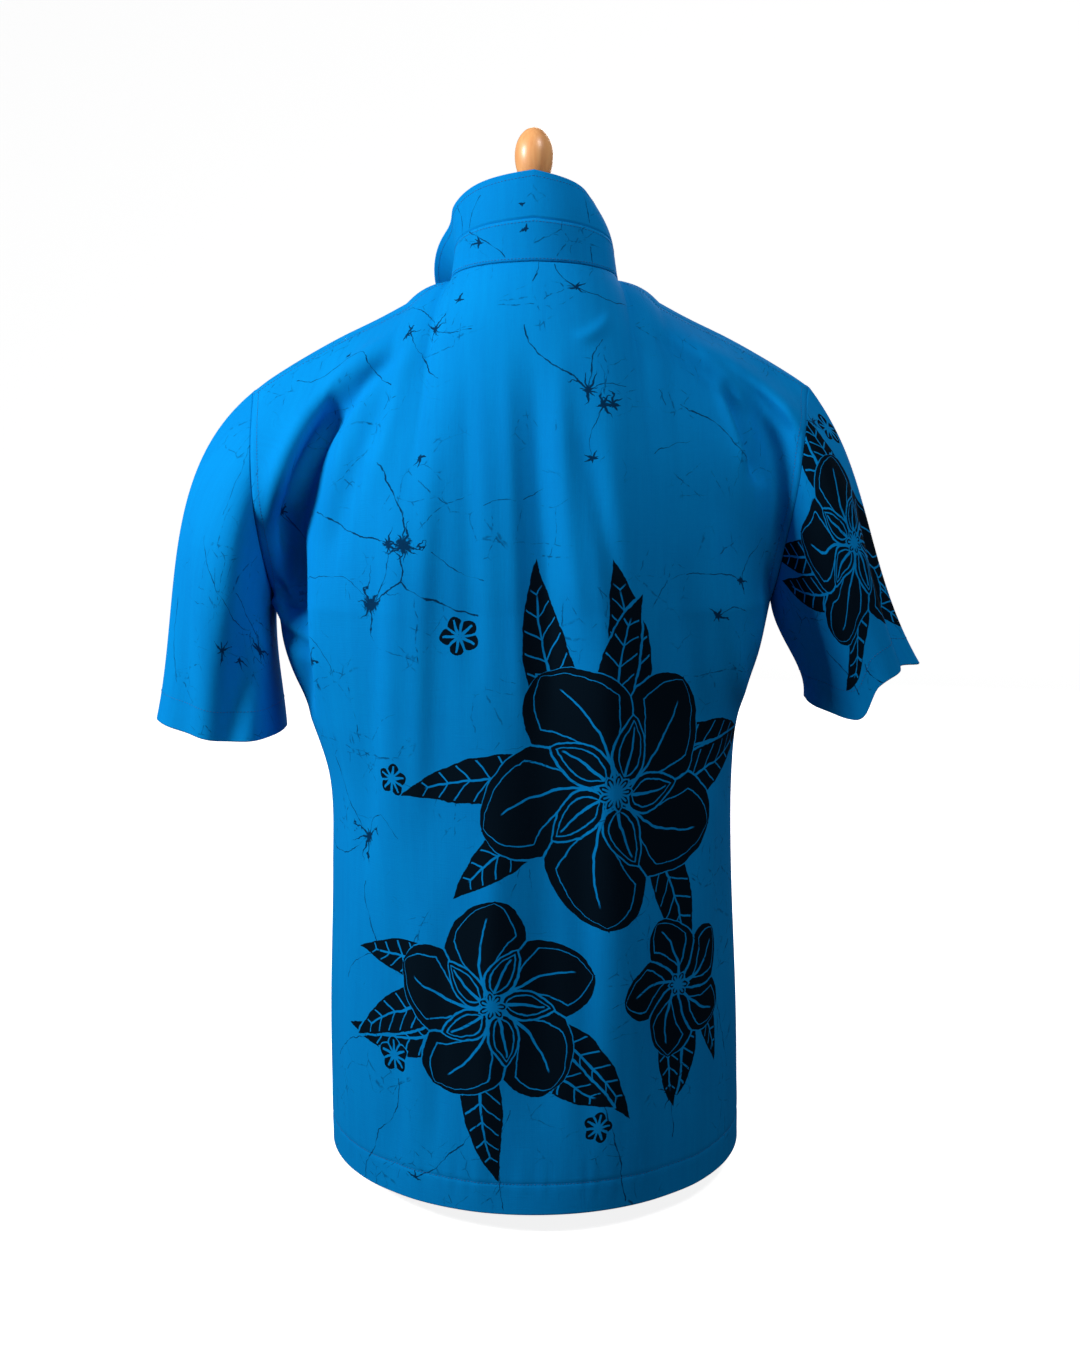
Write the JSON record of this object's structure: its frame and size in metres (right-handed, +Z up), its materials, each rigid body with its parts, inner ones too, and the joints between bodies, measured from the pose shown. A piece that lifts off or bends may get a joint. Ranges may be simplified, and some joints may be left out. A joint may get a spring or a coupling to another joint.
{
  "type": "batik shirt on a dress form",
  "caption": "Short-sleeved blue batik shirt with its collar turned up, worn by a limbless tabletop dress form with a turned wooden knob.",
  "frame": {"origin": "on the table, at the middle of the underside of the form's base board", "axes": "+Z up; the shirt's front faces -Y and its back +Y; the wearer's left is +X"},
  "size_m": [0.669, 0.3193, 0.903],
  "materials": {
    "batik_cotton": "matt plain-weave cotton, blue with navy crackle",
    "button_navy": "polished navy resin",
    "form_cover": "natural linen cover, stretched smooth",
    "varnished_wood": "clear satin varnish"
  },
  "bodies": {
    "root": {"back": "batik_cotton", "front_left": "batik_cotton", "front_right": "batik_cotton", "sleeve_left": "batik_cotton", "sleeve_right": "batik_cotton", "collar_stand": "batik_cotton", "collar_leaf": "batik_cotton", "button_1": "button_navy", "button_2": "button_navy", "button_3": "button_navy", "button_4": "button_navy", "button_5": "button_navy", "button_6": "button_navy", "form_torso": "form_cover", "form_neck_cap": "varnished_wood", "form_knob": "varnished_wood", "form_base": "varnished_wood"}
  },
  "joints": []
}
